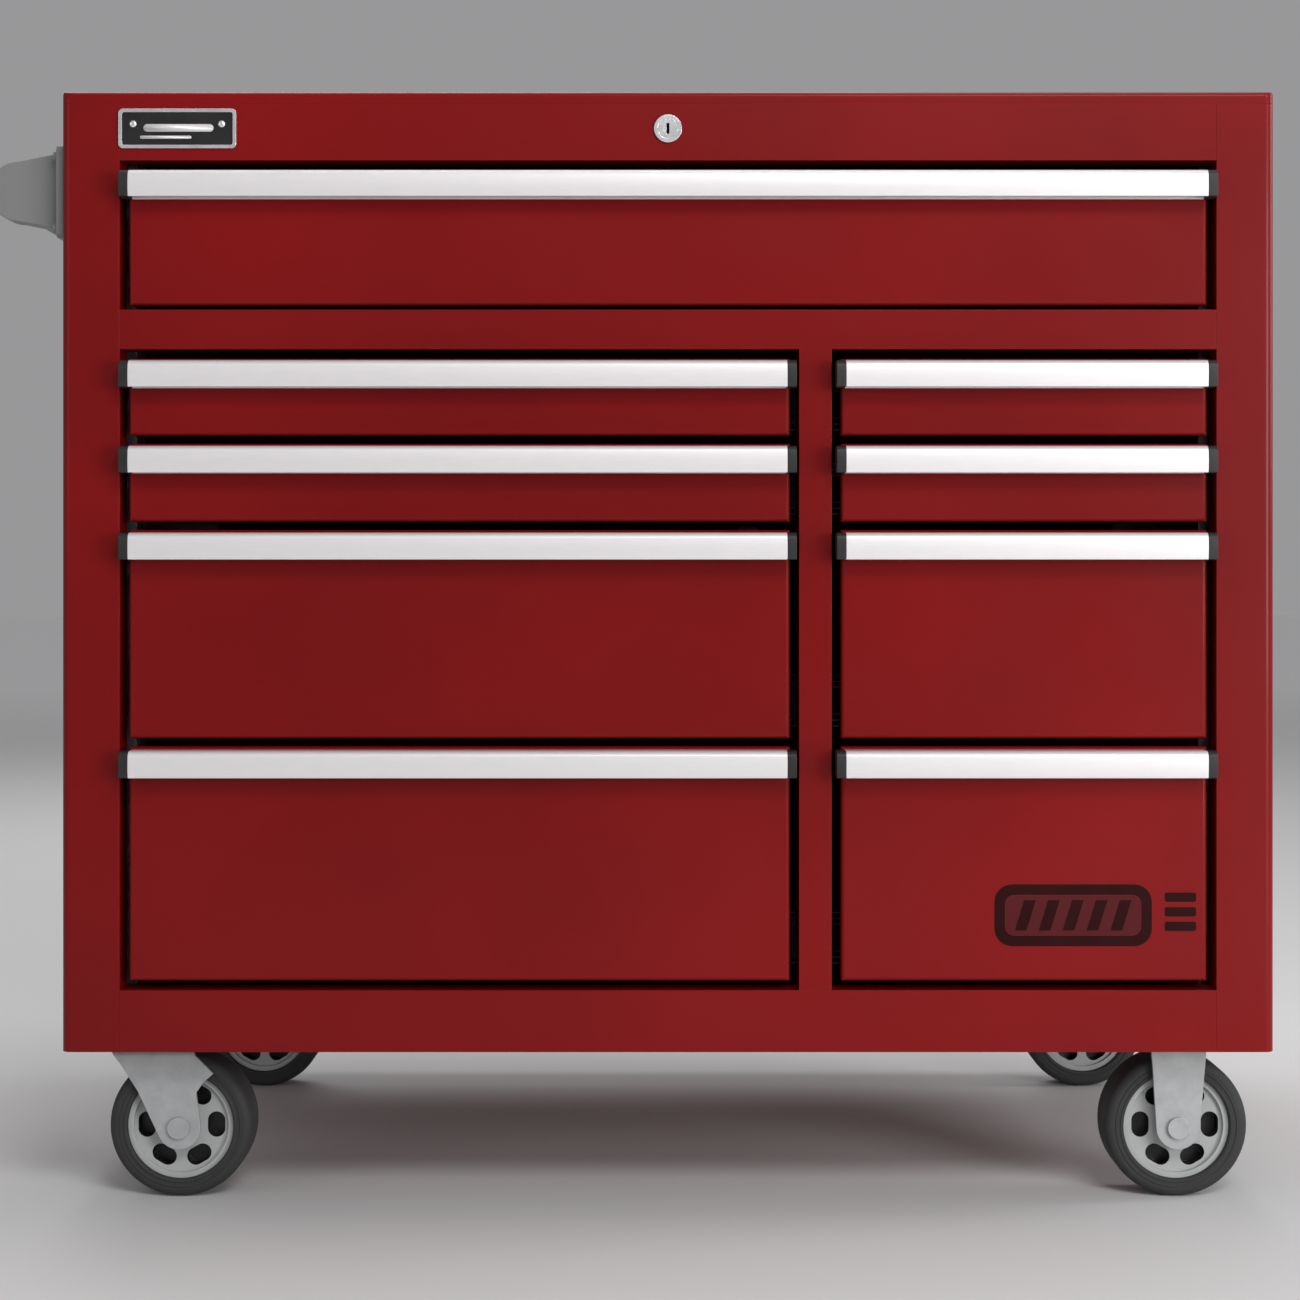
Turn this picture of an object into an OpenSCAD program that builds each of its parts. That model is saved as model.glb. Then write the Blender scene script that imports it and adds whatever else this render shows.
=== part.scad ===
/* [Cabinet] */
// Width of the steel body
body_w = 1041; // [1000:1:1080]
// Depth of the steel body, front rails to back panel
body_d = 600; // [596:1:640]
// Height of the steel body, skirt edge to top
body_h = 824; // [800:1:860]
// Height of the skirt's lower edge above the floor
skirt_z = 136; // [134:1:150]
// Thickness of the casing's sheet steel
sheet = 1.5; // [1.2:0.1:2]
// Radius of the folded front corners
corner_r = 8; // [4:1:12]

/* [Front frame] */
// Width of the stile on each side
stile_w = 50; // [44:1:54]
// Height of the top rail
top_rail_h = 59; // [52:1:64]
// Height of the opening for the full-width drawer
top_opening_h = 128; // [120:1:140]
// Height of the rail below the full-width drawer
mid_rail_h = 34; // [28:1:38]
// Height of the bottom rail
bottom_rail_h = 53; // [50:1:60]
// Width of the post between the two drawer banks
post_w = 28; // [24:1:32]
// Width of the left bank's opening
left_bay_w = 583; // [560:1:610]
// Depth of the folds behind the front frame
fold_d = 30; // [24:1:36]

/* [Drawers] */
// Front height of the three upper drawers of a bank, from the top
row_fronts = [66, 67, 179];
// Gap above the uppermost front in an opening
top_gap = 8; // [5:1:9]
// Gap between two fronts
row_gap = 7; // [5:1:8]
// Gap below the lowest front of a bank
bottom_gap = 8; // [6:1:10]
// Gap below the full-width front
upper_bottom_gap = 4; // [3:1:8]
// Gap beside a front
side_gap = 8; // [6.5:0.5:9.5]
// Thickness of the drawer's sheet steel
tray_sheet = 1.2; // [1:0.1:1.5]
// Distance from the front face to the tray's rear wall
tray_d = 540; // [538:1:544]

/* [Pulls] */
// Distance that a pull stands out from the drawer front
pull_reach = 20; // [18:1:24]
// Height of a pull's visible face
pull_h = 23; // [22:1:28]
// Length of the plastic cap at each end of a pull
cap_l = 8; // [6:1:14]
// Distance that a pull stands past each side of its front
pull_overhang = 5; // [2:1:5]

/* [Slides] */
// Thickness of a drawer slide
slide_t = 12.7; // [12.5:0.1:13]
// Height of a drawer slide
slide_h = 45; // [44:1:46]
// Length of a drawer slide
slide_l = 485; // [470:5:490]

/* [Side handle] */
// Distance that the handle stands out from the side
handle_reach = 70; // [66:1:80]
// Diameter of the hand tube
tube_d = 34; // [30:1:38]
// Height of the tube's centre above the floor
handle_z = 879; // [862:1:884]

/* [Casters] */
// Diameter of a wheel
wheel_d = 125; // [120:1:126]
// Width of a tyre
tyre_w = 46; // [40:1:48]
// Diameter of the wheel's axle
axle_d = 12; // [10:1:12]
// Distance from the swivel axis to the wheel's axle
trail = 28; // [24:1:30]
// Distance from the body's side to the swivel axes
swivel_inset = 65.5; // [64:0.5:80]
// Distance from the body's side to the rigid axles
rigid_inset = 74.5; // [70:0.5:90]
// Distance from the front and the back to the casters' middles
caster_inset = 68; // [66:1:80]

/* [Lock] */
// Diameter of the lock's plug
plug_d = 17; // [16:0.5:17.5]
// Radius of the crank that lifts the lock bar
crank_r = 16; // [15:0.5:16]

/* [Badge] */
// Width of the plain name plate
badge_w = 101; // [80:1:110]
// Height of the plain name plate
badge_h = 34; // [28:1:36]

/* [Hidden] */
$fn = 48;
EPS = 0.01;

// Heights of the front frame
top_z = skirt_z + body_h;
upper_open_z1 = top_z - top_rail_h;
upper_open_z0 = upper_open_z1 - top_opening_h;
lower_open_z1 = upper_open_z0 - mid_rail_h;
lower_open_z0 = skirt_z + bottom_rail_h;

// Sides of the openings, from the middle of the body
half_w = body_w / 2;
open_x0 = -half_w + stile_w;
open_x1 = half_w - stile_w;
post_x0 = open_x0 + left_bay_w;
post_x1 = post_x0 + post_w;
inner_x = half_w - sheet;

// Top deck
rim_h = 10;
deck_r = 4;
deck_t = 2;
deck_z = top_z - deck_t;

// Floor of the cabinet, on which the casters are bolted
floor_z = skirt_z + 26;
deck_y1 = body_d - 35;

// Inner faces at the back
back_y = body_d - 2 * sheet;
rib_d = 4;

// Lower end of the stiles' folds, clear of the casters' bolts
stile_fold_z0 = floor_z + 14;

// Mid shelf
shelf_z = upper_open_z0 - 20;

// Drawer: [name, left side, right side, underside of front, height of front]
fill = lower_open_z1 - lower_open_z0 - top_gap - bottom_gap - 3 * row_gap;
fronts = concat(row_fronts, [fill - row_fronts[0] - row_fronts[1] - row_fronts[2]]);
function sum_to(list, n) = n < 0 ? 0 : list[n] + sum_to(list, n - 1);
function front_z(row) = lower_open_z1 - top_gap - sum_to(fronts, row) - row * row_gap;
function bank(name, x0, x1) =
    [for (row = [0:3]) [str(name, row + 1), x0, x1, front_z(row), fronts[row]]];
top_drawer = ["drawer_top", open_x0, open_x1, upper_open_z0 + upper_bottom_gap,
    top_opening_h - top_gap - upper_bottom_gap];
drawers = concat([top_drawer], bank("drawer_left_", open_x0, post_x0),
    bank("drawer_right_", post_x1, open_x1));

// Tray, from the underside of its front
tray_lift = 6;
tray_drop = 14;
tray_wall_y = 12;
fold_r = 4;
hem_t = 3;
hem_h = 6;
function tray_z0(d) = d[3] + tray_lift;
function tray_z1(d) = d[3] + d[4] - tray_drop;

// Slide members: three channels nested in the slide's thickness
slide_y0 = 48;
member_t = 1.2;
slide_lift = 1.5;
mid_h = slide_h - 10;
inner_h = slide_h - 20;
member_gap = 0.2;
function slide_mid_z(d) = tray_z0(d) + slide_lift + slide_h / 2;

// Pull, from the top of its front
pull_top = 2.5;
pull_t = 2.2;

// Side handle
flange_h = 80;
flange_w = 56;
flange_t = 8;
flange_drop = 2;
arm_w = 26;
arm_r = 26;
arm_len = handle_reach - arm_r;
bracket_inset = 42;
bracket_ys = [bracket_inset, body_d - bracket_inset];

// Casters
wheel_r = wheel_d / 2;
hub_r = wheel_r - 16;
plate_t = 4;
plate_z = floor_z - plate_t;
leg_t = 3.5;
leg_gap = 3;
leg_y = tyre_w / 2 + leg_gap;
leg_out_y = leg_y + leg_t;
bend_r = 8;
crown_z = wheel_d + leg_gap + 1;
crown_top = crown_z + leg_t;
race_gap = 1;
kingpin_d = 12;
axle_lobe_r = 19;
axle_slack = 0.16;
plate_l = 110;
plate_w = 90;
bolt_span_x = 62;
bolt_span_y = 84;
bolt_d = 8;
caster_ys = [caster_inset, body_d - caster_inset];
swivel_x = -half_w + swivel_inset;
rigid_x = half_w - rigid_inset;

// Lock; a drawer's side of the post decides which strip of the lock bar serves it
lock_z = top_z - 32;
bezel_d = 24;
barrel_d = 21;
barrel_l = 24;
rod_d = 8;
crank_y = body_d - 32;
bar_t = 2.5;
bar_y = crank_y + 6;
bar_w = 20;
pin_d = 5;
pin_x = crank_r * cos(45);
pin_z = lock_z - crank_r * sin(45);
bar_xs = [post_x0 - 32, post_x1 + 14];
function bar_x(d) = d[1] > 0 ? bar_xs[1] : bar_xs[0];
finger_low = -17.1;
finger_high = 8;
finger_y = bar_y - 25;
guide_zs = [290, 500, 850];

// Every drawer's parts, then the whole list
drawer_nodes = [for (d = drawers) for (part = ["_tray", "_pull", "_slides"]) str(d[0], part)];
wheel_names = ["front_left", "rear_left", "front_right", "rear_right"];
wheel_nodes = [for (w = wheel_names) for (part = ["_hub", "_tyre"]) str("wheel_", w, part)];

// Colours
red = [0.50, 0.09, 0.10];
dark_red = [0.42, 0.07, 0.08];
zinc = [0.72, 0.73, 0.74];
aluminium = [0.90, 0.89, 0.89];
black = [0.10, 0.10, 0.10];
rubber = [0.22, 0.22, 0.22];
hub_grey = [0.66, 0.67, 0.67];
handle_grey = [0.46, 0.48, 0.47];
chrome = [0.85, 0.85, 0.87];

// The parts are drawn with the body's middle at x = 0 and its front face at y = 0,
// and this puts the origin under the middle of the whole object.
module in_place() {
    translate([handle_reach / 2, -(body_d - pull_reach) / 2, 0]) children();
}

// Box between two opposite corners
module box(low, high) {
    translate(low) cube(high - low);
}

// The children, and their mirror image in the body's middle plane
module both_sides() {
    children();
    mirror([1, 0, 0]) children();
}

// Rectangle about the origin with round corners
module round_rect(w, h, r) {
    square([w, h - 2 * r], center = true);
    square([w - 2 * r, h], center = true);
    for (x = [-1, 1], y = [-1, 1])
        translate([x * (w / 2 - r), y * (h / 2 - r)]) circle(r);
}

// Cylinder along y, from y0 to y1
module rod_y(d, y0, y1) {
    translate([0, y0, 0]) rotate([-90, 0, 0]) cylinder(d = d, h = y1 - y0);
}

// Outline in x and z, as a plate between y0 and y1
module plate_y(y0, y1) {
    translate([0, y1, 0]) rotate([90, 0, 0]) linear_extrude(y1 - y0) children();
}

// Outline in y and z, pushed along x
module bar_x_axis(x0, x1) {
    translate([x0, 0, 0]) rotate([90, 0, 90]) linear_extrude(x1 - x0) children();
}

// ---- Casing ----

// Plan of the body inside its skin, inset by a distance, with round front corners
module body_plan(inset) {
    r = corner_r - inset;
    w = body_w - 2 * inset;
    translate([-w / 2, corner_r]) square([w, body_d - inset - corner_r]);
    translate([-w / 2 + r, inset]) square([w - 2 * r, corner_r - inset + EPS]);
    for (x = [-1, 1])
        translate([x * (half_w - corner_r), corner_r]) circle(r);
}

// One side: outer wall, round corner, stile with its fold, and rear flange
module side_profile() {
    flange = 20;
    difference() {
        intersection() {
            body_plan(0);
            translate([-half_w, 0]) square([stile_w, body_d]);
        }
        intersection() {
            body_plan(sheet);
            translate([-half_w, 0]) square([stile_w - sheet, body_d]);
        }
        translate([open_x0 - sheet - EPS, fold_d]) square([stile_w, body_d]);
        translate([-half_w + flange, fold_d]) square([stile_w, body_d]);
    }
}

module side_panel() {
    color(red) difference() {
        translate([0, 0, skirt_z]) linear_extrude(body_h - rim_h) side_profile();
        box([open_x0 - 2 * sheet, sheet, skirt_z - 1], [open_x0 + 1, fold_d + 1, stile_fold_z0]);
    }
}

module side_panel_left() {
    in_place() side_panel();
}

module side_panel_right() {
    in_place() mirror([1, 0, 0]) side_panel();
}

// Back sheet with pressed-in stiffening ribs, open towards the back
module back_panel() {
    rib_h = 26;
    rib_side = 70;
    rib_zs = [for (k = [1:4]) skirt_z + k * body_h / 5];
    in_place() color(red) difference() {
        union() {
            box([-inner_x, back_y, skirt_z], [inner_x, back_y + sheet, top_z - rim_h]);
            for (z = rib_zs)
                box([-inner_x + rib_side, back_y - rib_d, z - rib_h / 2],
                    [inner_x - rib_side, back_y + EPS, z + rib_h / 2]);
        }
        for (z = rib_zs)
            box([-inner_x + rib_side + sheet, back_y - rib_d + sheet, z - rib_h / 2 + sheet],
                [inner_x - rib_side - sheet, back_y + 2 * sheet, z + rib_h / 2 - sheet]);
    }
}

// End view of the deck: a block w wide whose two upper corners are round
module deck_section(w, r) {
    square([w, rim_h - r]);
    translate([r, 0]) square([w - 2 * r, rim_h]);
    for (x = [r, w - r])
        translate([x, rim_h - r]) circle(r);
}

// Flat deck with a turned-down rim and round upper edges
module top_panel() {
    in_place() color(red) difference() {
        intersection() {
            translate([0, 0, top_z - rim_h]) linear_extrude(rim_h) body_plan(0);
            translate([0, 0, top_z - rim_h]) bar_x_axis(-half_w, half_w)
                deck_section(body_d, deck_r);
            translate([-half_w, body_d, top_z - rim_h]) rotate([90, 0, 0])
                linear_extrude(body_d) deck_section(body_w, deck_r);
        }
        translate([0, 0, top_z - rim_h - deck_t]) linear_extrude(rim_h) body_plan(deck_t);
    }
}

module bolt_places() {
    for (x = [swivel_x, rigid_x], y = caster_ys)
        for (dx = [-1, 1], dy = [-1, 1])
            translate([x + dx * bolt_span_x / 2, y + dy * bolt_span_y / 2, 0]) children();
}

// Floor sheet with turned-down sides and two channels over the casters
module base_pan() {
    channel_h = 20;
    channel_w = 104;
    channel_t = 2.5;
    in_place() color(red) difference() {
        union() {
            box([-inner_x, corner_r, floor_z], [inner_x, back_y, floor_z + sheet]);
            box([-half_w + corner_r, sheet, floor_z],
                [half_w - corner_r, corner_r + EPS, floor_z + sheet]);
            both_sides()
                box([-inner_x, corner_r, skirt_z], [-inner_x + sheet, back_y, floor_z + EPS]);
            for (x = [swivel_x, rigid_x]) difference() {
                box([x - channel_w / 2, fold_d, floor_z + sheet - EPS],
                    [x + channel_w / 2, deck_y1, floor_z + sheet + channel_h]);
                box([x - channel_w / 2 + channel_t, 0, floor_z + sheet],
                    [x + channel_w / 2 - channel_t, body_d, floor_z + sheet + channel_h - channel_t]);
            }
        }
        bolt_places() translate([0, 0, floor_z - 1]) cylinder(d = bolt_d, h = sheet + 2);
    }
}

// Horizontal rail between the stiles: front web and a fold at each edge
module rail(z0, z1, fold0, fold1) {
    box([open_x0, 0, z0], [open_x1, sheet, z1]);
    box([open_x0, 0, z0], [open_x1, fold0, z0 + sheet]);
    box([open_x0, 0, z1 - sheet], [open_x1, fold1, z1]);
}

module top_rail() {
    in_place() color(red) difference() {
        rail(upper_open_z1, top_z - rim_h, fold_d, fold_d / 2);
        translate([0, 0, lock_z]) rod_y(barrel_d, -1, sheet + 1);
    }
}

module mid_rail() {
    in_place() color(red) rail(lower_open_z1, upper_open_z0, fold_d, fold_d);
}

module bottom_rail() {
    in_place() color(red) rail(skirt_z, lower_open_z0, fold_d / 2, fold_d);
}

// Hollow wall between the banks, whose front edge is the post in the opening
module centre_partition() {
    in_place() color(red) difference() {
        union() {
            box([post_x0, 0, lower_open_z0], [post_x1, fold_d, lower_open_z1]);
            box([post_x0, fold_d - EPS, floor_z + sheet], [post_x1, deck_y1, shelf_z]);
        }
        box([post_x0 + sheet, sheet, floor_z], [post_x1 - sheet, deck_y1 - sheet, top_z]);
    }
}

// Sheet between the full-width drawer and the banks, with a fold along its rear edge
module mid_shelf() {
    lip_h = 10;
    in_place() color(red) {
        box([-inner_x, fold_d, shelf_z], [inner_x, deck_y1, shelf_z + sheet]);
        box([-inner_x, deck_y1 - sheet, shelf_z], [inner_x, deck_y1, shelf_z + lip_h]);
    }
}

// Channel posts that carry the slides, open towards the side panels
module upright(z0, z1) {
    post_l = 40;
    for (y = [70, slide_y0 + slide_l - 60]) difference() {
        box([-inner_x, y, z0], [open_x0, y + post_l, z1]);
        box([-inner_x - 1, y + sheet, z0 - 1], [open_x0 - sheet, y + post_l - sheet, z1 + 1]);
    }
}

module slide_uprights() {
    channel_top = floor_z + sheet + 20;
    in_place() color(zinc) both_sides() {
        upright(channel_top, shelf_z);
        upright(shelf_z + sheet, top_z - rim_h);
    }
}

// ---- Drawer slides ----

// Channel along y: web at x = web_x, lips from it towards the given side
module channel(h, web_x, lip_to, y0, y1) {
    low = min(web_x, lip_to);
    high = max(web_x, lip_to);
    web0 = lip_to > web_x ? web_x : web_x - member_t;
    box([web0, y0, -h / 2], [web0 + member_t, y1, h / 2]);
    for (z = [-h / 2, h / 2 - member_t])
        box([low, y0, z], [high, y1, z + member_t]);
}

// The children at both sides of a drawer, with x counted from the opening's side
module slide_places(d) {
    translate([d[1], slide_y0, slide_mid_z(d)]) children();
    translate([d[2], slide_y0, slide_mid_z(d)]) mirror([1, 0, 0]) children();
}

module slide_cabinet_members() {
    in_place() color(zinc) for (d = drawers)
        slide_places(d) channel(slide_h, 0, slide_t - 2.7, 0, slide_l);
}

module drawer_slides(d) {
    in_place() color(zinc) slide_places(d)
        channel(mid_h, 2.2, slide_t - 1.7, 0, slide_l);
}

// ---- Drawers ----

// Section of a front, inset by a distance: its two outer corners are round
module front_section(h, inset) {
    translate([inset, fold_r]) square([h - 2 * inset, tray_wall_y - fold_r + inset]);
    translate([fold_r, inset]) square([h - 2 * fold_r, tray_wall_y]);
    for (x = [fold_r, h - fold_r])
        translate([x, fold_r]) circle(fold_r - inset);
}

// Block with that section both ways, so that all four outer edges are round
module front_block(x0, x1, z0, z1, inset) {
    intersection() {
        translate([x0, 0, z0 + inset]) linear_extrude(z1 - z0 - 2 * inset)
            front_section(x1 - x0, inset);
        translate([x1 - inset, 0, z0]) rotate([0, -90, 0])
            linear_extrude(x1 - x0 - 2 * inset) front_section(z1 - z0, inset);
    }
}

// Folded front: skin with a return along all four edges
module drawer_front(x0, x1, z0, z1) {
    difference() {
        intersection() {
            front_block(x0, x1, z0, z1, 0);
            box([x0, 0, z0], [x1, tray_wall_y, z1]);
        }
        front_block(x0, x1, z0, z1, tray_sheet);
    }
}

// Open box with hemmed edges, inside its slides
module drawer_box(x0, x1, z0, z1) {
    t = tray_sheet;
    difference() {
        box([x0, t, z0], [x1, tray_d, z1]);
        box([x0 + t, tray_wall_y + t, z0 + t], [x1 - t, tray_d - t, z1 + 1]);
        box([x0 + t, t - EPS, z0 + t], [x1 - t, tray_wall_y, z1 + 1]);
    }
    for (x = [x0, x1 - hem_t])
        box([x, tray_wall_y, z1 - hem_h], [x + hem_t, tray_d, z1]);
    box([x0, tray_d - hem_t, z1 - hem_h], [x1, tray_d, z1]);
}

// Bent tab on the rear wall, which the lock bar's finger catches
module lock_tab(d) {
    tab_w = bar_w - 6;
    tab_y = bar_y - 18;
    hang_z = tray_z0(d) + 10;
    arm_z = tray_z0(d) + 33;
    x = bar_x(d) + 3;
    box([x, tray_d - EPS, arm_z], [x + tab_w, tab_y + 2, arm_z + 2]);
    box([x, tab_y, hang_z], [x + tab_w, tab_y + 2, arm_z + 2]);
}

module drawer_tray(d) {
    x0 = d[1] + slide_t;
    x1 = d[2] - slide_t;
    in_place() {
        color(red) drawer_front(d[1] + side_gap, d[2] - side_gap, d[3], d[3] + d[4]);
        color(dark_red) drawer_box(x0, x1, tray_z0(d), tray_z1(d));
        color(zinc) lock_tab(d);
        color(zinc) slide_places(d)
            channel(inner_h, slide_t - member_gap, 4.5, 0, slide_l);
    }
}

// Outline of the pull's section, inset: bowed face and a round upper front edge
module pull_outline(inset) {
    bow_r = 60;
    bow_z = 10;
    edge_r = 6;
    edge_z = pull_h - edge_r;
    edge_y = pull_reach - edge_r - pow(edge_z - bow_z, 2) / (2 * bow_r);
    intersection() {
        translate([pull_reach - bow_r, bow_z]) circle(bow_r - inset, $fn = 180);
        union() {
            square([pull_reach, edge_z]);
            square([edge_y, pull_h - inset]);
            translate([edge_y, edge_z]) circle(edge_r - inset);
        }
    }
}

// Section of the pull: leaf against the front, bridge and lip, with a finger gap behind the lip
module pull_section(hollow) {
    leaf_t = 1.5;
    difference() {
        pull_outline(0);
        if (hollow) difference() {
            pull_outline(pull_t);
            translate([-1, -1]) square([leaf_t + 1, pull_h + 2]);
        }
    }
}

// Section pushed out from the drawer front, along x
module pull_length(x0, x1, z_top) {
    translate([0, 0, z_top - pull_h]) bar_x_axis(x0, x1) mirror([1, 0]) children();
}

module drawer_pull(d) {
    x0 = d[1] + side_gap - pull_overhang;
    x1 = d[2] - side_gap + pull_overhang;
    z_top = d[3] + d[4] - pull_top;
    in_place() {
        color(aluminium) pull_length(x0 + cap_l, x1 - cap_l, z_top) pull_section(true);
        color(black) for (x = [x0, x1 - cap_l + member_gap])
            pull_length(x, x + cap_l - member_gap, z_top) pull_section(false);
    }
}

// ---- Lock ----

module lock_housing() {
    in_place() color(chrome) {
        translate([0, 0, lock_z]) difference() {
            union() {
                rod_y(bezel_d, -2.5, 0);
                rod_y(barrel_d, -EPS, barrel_l);
            }
            rod_y(plug_d + 0.1, -3, barrel_l + 1);
        }
        // Bracket that carries the rod's rear end
        difference() {
            union() {
                box([-15, crank_y - 8, lock_z - 16], [15, crank_y - 5.5, deck_z]);
                box([-15, crank_y - 24, deck_z - 2.5], [15, crank_y - 5.5, deck_z]);
            }
            translate([0, 0, lock_z]) rod_y(rod_d + 0.16, crank_y - 20, crank_y);
        }
    }
}

// Plug with a key slot, rod to the back, and a crank with its pin
module lock_cylinder() {
    in_place() color(chrome) translate([0, 0, lock_z]) {
        difference() {
            rod_y(plug_d, -2.2, barrel_l);
            box([-1.2, -3, -4.5], [1.2, 8, 4.5]);
        }
        rod_y(rod_d, barrel_l - EPS, crank_y + 3);
        rotate([0, 45, 0]) {
            plate_y(crank_y, crank_y + 3) {
                circle(9);
                translate([0, -7]) square([crank_r, 14]);
                translate([crank_r, 0]) circle(7);
            }
            translate([crank_r, 0, 0]) rod_y(pin_d, crank_y, bar_y + bar_t + 2);
        }
    }
}

// Two strips joined by a cross arm, with a bent finger for every drawer
module lock_bar() {
    arm_h = 22;
    slot_h = pin_d + 2;
    arm_x0 = 4;
    bar_x1 = bar_xs[1] + bar_w;
    lowest = tray_z0(drawers[4]) + finger_low;
    in_place() color(zinc) difference() {
        union() {
            for (x = bar_xs)
                box([x, bar_y, lowest], [x + bar_w, bar_y + bar_t, pin_z + arm_h / 2]);
            box([arm_x0, bar_y, pin_z - arm_h / 2], [bar_x1, bar_y + bar_t, pin_z + arm_h / 2]);
            for (d = drawers) {
                x = bar_x(d);
                z = tray_z0(d);
                box([x, finger_y, z + finger_low], [x + bar_w, bar_y + EPS, z + finger_low + bar_t]);
                box([x, finger_y, z + finger_low], [x + bar_w, finger_y + bar_t, z + finger_high]);
            }
        }
        box([pin_x - pin_d, bar_y - 1, pin_z - slot_h / 2],
            [crank_r + pin_d, bar_y + bar_t + 1, pin_z + slot_h / 2]);
    }
}

// Blocks on the back panel in which the strips slide
module lock_guides() {
    guide_h = 24;
    slack = 0.5;
    in_place() color(black) for (x = bar_xs, z = guide_zs) difference() {
        box([x - 6, bar_y - 4, z], [x + bar_w + 6, back_y - rib_d - 2 * EPS, z + guide_h]);
        box([x - slack, bar_y - slack, z - 1],
            [x + bar_w + slack, bar_y + bar_t + slack, z + guide_h + 1]);
    }
}

// ---- Side handle ----

// Side view of an arm, with x outwards from the side panel
module arm_outline() {
    flare = 8;
    union() {
        polygon([[flange_t / 2, -arm_r - flare], [arm_len, -arm_r],
            [arm_len, arm_r], [flange_t / 2, arm_r + flare]]);
        translate([arm_len, 0]) circle(arm_r);
    }
}

module handle_brackets() {
    screw_h = 3.4;
    in_place() color(handle_grey) translate([-half_w, 0, handle_z]) mirror([1, 0, 0])
        for (y = bracket_ys) {
            difference() {
                union() {
                    plate_y(y - arm_w / 2, y + arm_w / 2) arm_outline();
                    translate([0, y, -flange_drop]) rotate([90, 0, 90])
                        linear_extrude(flange_t) round_rect(flange_w, flange_h, 6);
                }
                translate([arm_len, 0, 0]) rod_y(tube_d,
                    y < body_d / 2 ? y - 9 : y - arm_w, y < body_d / 2 ? y + arm_w : y + 9);
            }
            for (dy = [-1, 1], dz = [-1, 1])
                translate([flange_t + member_gap, y + dy * 20, -flange_drop + dz * 31])
                    rotate([0, 90, 0]) difference() {
                        cylinder(d = 9, h = screw_h);
                        translate([0, 0, screw_h / 2]) cylinder(d = 4.6, h = screw_h, $fn = 6);
                    }
        }
}

module handle_tube() {
    in_place() color(handle_grey) translate([-half_w - arm_len, 0, handle_z]) difference() {
        rod_y(tube_d, bracket_ys[0] - 9, bracket_ys[1] + 9);
        rod_y(tube_d - 4, bracket_ys[0] - 10, bracket_ys[1] + 10);
    }
}

// ---- Badge ----

// Plain plate with a raised rim
module badge() {
    rim = 3;
    badge_t = 2.5;
    in_place() color(chrome) translate([-half_w + 100, 0, top_z - 32]) difference() {
        plate_y(-badge_t, 0) round_rect(badge_w, badge_h, 4);
        plate_y(-badge_t - 1, -badge_t / 2) round_rect(badge_w - 2 * rim, badge_h - 2 * rim, 2);
    }
}

// ---- Casters ----

module caster_plate() {
    difference() {
        translate([0, 0, plate_z]) linear_extrude(plate_t) round_rect(plate_w, plate_l, 8);
        for (dx = [-1, 1], dy = [-1, 1])
            translate([dx * bolt_span_x / 2, dy * bolt_span_y / 2, plate_z - 1])
                cylinder(d = bolt_d, h = plate_t + 2);
    }
}

// Mounting plates with the fixed race and the kingpin
module swivel_caster_plates() {
    race_z = crown_top + race_gap;
    race_d = 58;
    lip_d = 64;
    nut_d = 20;
    nut_h = 3.5;
    in_place() color(zinc) for (y = caster_ys) translate([swivel_x, y, 0]) {
        caster_plate();
        translate([0, 0, race_z]) cylinder(d = race_d, h = plate_z - race_z + EPS);
        translate([0, 0, race_z]) cylinder(d = lip_d, h = 3);
        translate([0, 0, plate_z - 6]) cylinder(d = lip_d, h = 6 + EPS);
        translate([0, 0, crown_z - nut_h]) cylinder(d = kingpin_d, h = race_z - crown_z + nut_h + 1);
        translate([0, 0, crown_z - nut_h - 1]) cylinder(d = nut_d, h = nut_h);
    }
}

// Point where the line from p touches the circle about c, on the side given by s = 1 or -1
function touch(p, c, r, s) =
    let (v = p - c, dist = norm(v), a = atan2(v[1], v[0]) + s * acos(r / dist))
    c + r * [cos(a), sin(a)];

// Side view of a fork: edges down each side, then tangents to the lobe round the axle
module fork_outline(left, right, axle_x) {
    c = [axle_x, wheel_r];
    left_foot = left[len(left) - 1];
    right_foot = right[len(right) - 1];
    polygon(concat([for (k = [len(left) - 1:-1:0]) left[k]], right,
        [touch(right_foot, c, axle_lobe_r, -1), c, touch(left_foot, c, axle_lobe_r, 1)]));
    translate(c) circle(axle_lobe_r);
}

// Front view of a fork: an arch with round shoulders
module arch(half, top, r) {
    translate([-half, 0]) square([2 * half, top - r]);
    translate([-half + r, 0]) square([2 * (half - r), top]);
    for (y = [-1, 1])
        translate([y * (half - r), top - r]) circle(r);
}

// Sheet steel fork: the side view cut out of a bent channel, bored for the axle
module fork(left, right, top, axle_x) {
    reach = wheel_d;
    difference() {
        intersection() {
            plate_y(-leg_out_y, leg_out_y) fork_outline(left, right, axle_x);
            bar_x_axis(-reach, reach) arch(leg_out_y, top, bend_r);
        }
        translate([0, 0, -1]) bar_x_axis(-reach - 1, reach + 1)
            arch(leg_y, top - leg_t + 1, bend_r - leg_t);
        translate([axle_x, 0, wheel_r]) rod_y(axle_d + axle_slack, -leg_out_y - 1, leg_out_y + 1);
    }
}

// Bolt through both legs, with its round head in front and its nut behind
module axle_bolt() {
    head_h = 3.5;
    nut_h = 7;
    rod_y(axle_d, -leg_out_y - 1, leg_out_y + nut_h - 1);
    rod_y(19, -leg_out_y - head_h, -leg_out_y - 0.05);
    translate([0, leg_out_y + 0.05, 0]) rotate([-90, 0, 0]) cylinder(d = 21, h = nut_h, $fn = 6);
}

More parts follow.
